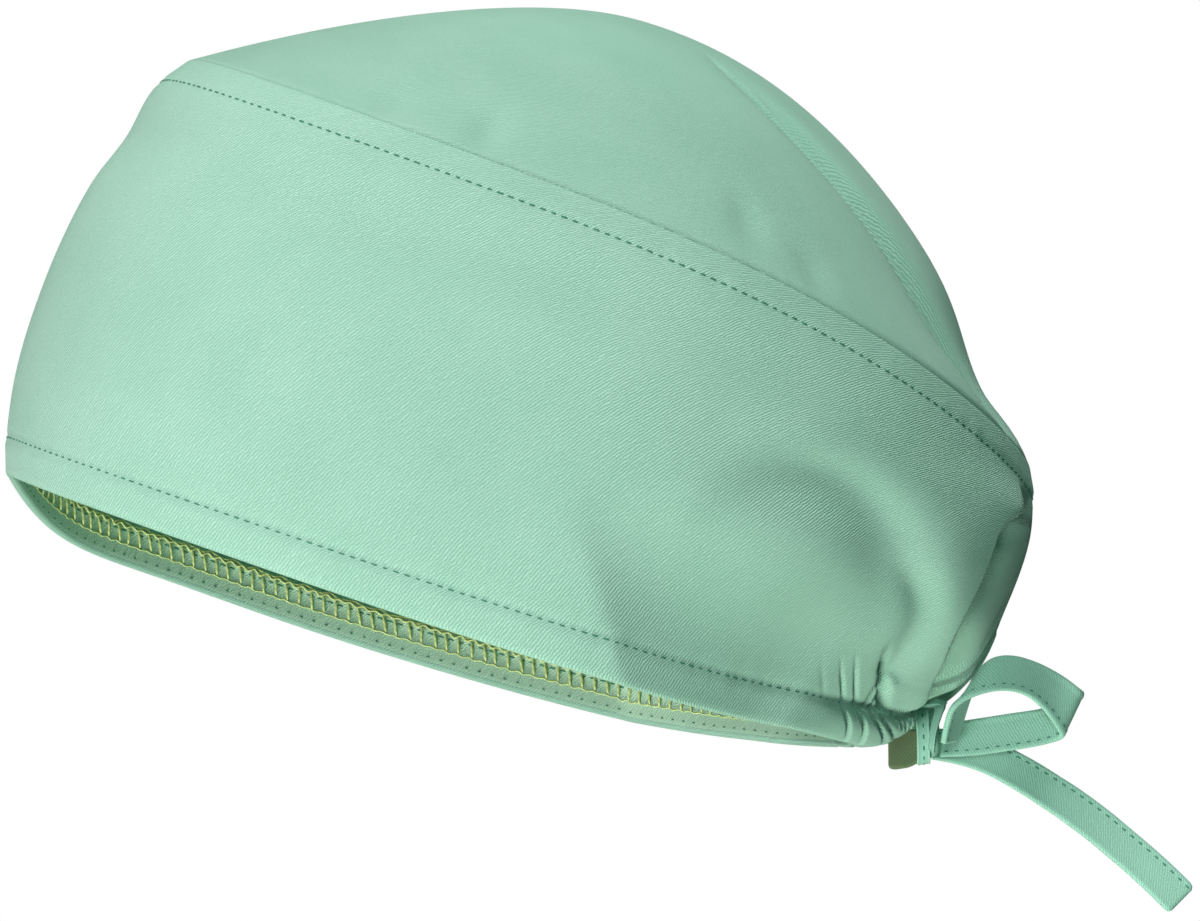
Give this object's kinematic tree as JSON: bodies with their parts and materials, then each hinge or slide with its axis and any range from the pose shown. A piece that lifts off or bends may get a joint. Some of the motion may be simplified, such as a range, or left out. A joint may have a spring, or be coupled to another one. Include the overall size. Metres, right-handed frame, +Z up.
{
  "type": "tie-back surgeon's cap",
  "caption": "Twill surgeon's cap: domed crown on a tall side band with a turned hem, gathered at the nape by a tie in a half bow.",
  "frame": {"origin": "middle of the rim, where the cap sits on the head", "axes": "+Z up, the wearer faces -X, the wearer's left is -Y, the rim rises 16.5 degrees towards the forehead"},
  "size_m": [0.2629, 0.1644, 0.2014],
  "materials": {
    "cap_twill": "matte mint green twill, dark green stitching",
    "tie_twill": "matte mint green twill, folded and edge stitched"
  },
  "bodies": {
    "root": {"side_band": "cap_twill", "crown": "cap_twill", "tie_knot": "tie_twill", "tie_loop": "tie_twill", "tie_tail": "tie_twill", "tie_end": "tie_twill"}
  },
  "joints": []
}
